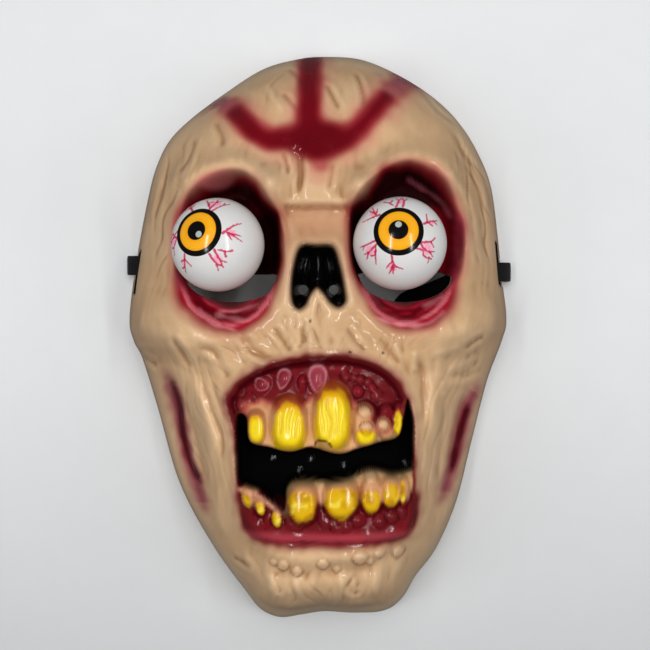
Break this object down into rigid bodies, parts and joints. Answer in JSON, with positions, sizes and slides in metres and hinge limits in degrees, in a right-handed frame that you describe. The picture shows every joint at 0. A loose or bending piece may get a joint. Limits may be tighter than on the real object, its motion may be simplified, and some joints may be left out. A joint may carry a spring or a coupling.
{
  "type": "horror mask",
  "caption": "Thin formed-plastic skull face mask lying face up, with ball eyes standing proud of the sockets, a gaping toothed mouth, a hollow back and an elastic head band.",
  "frame": {"origin": "on the ground under the middle of the bounding box; the mask lies on its rim", "axes": "+Z out of the face, +Y from chin to crown, +X to the right of someone looking at the face"},
  "size_m": [0.1844, 0.2717, 0.0938],
  "materials": {
    "mask_skin": "glossy formed sheet, airbrushed",
    "eyeball": "glossy, printed",
    "elastic": "woven elastic band"
  },
  "bodies": {
    "root": {"mask_shell": "mask_skin", "eyeball_left": "eyeball", "eyeball_right": "eyeball", "strap": "elastic"}
  },
  "joints": []
}
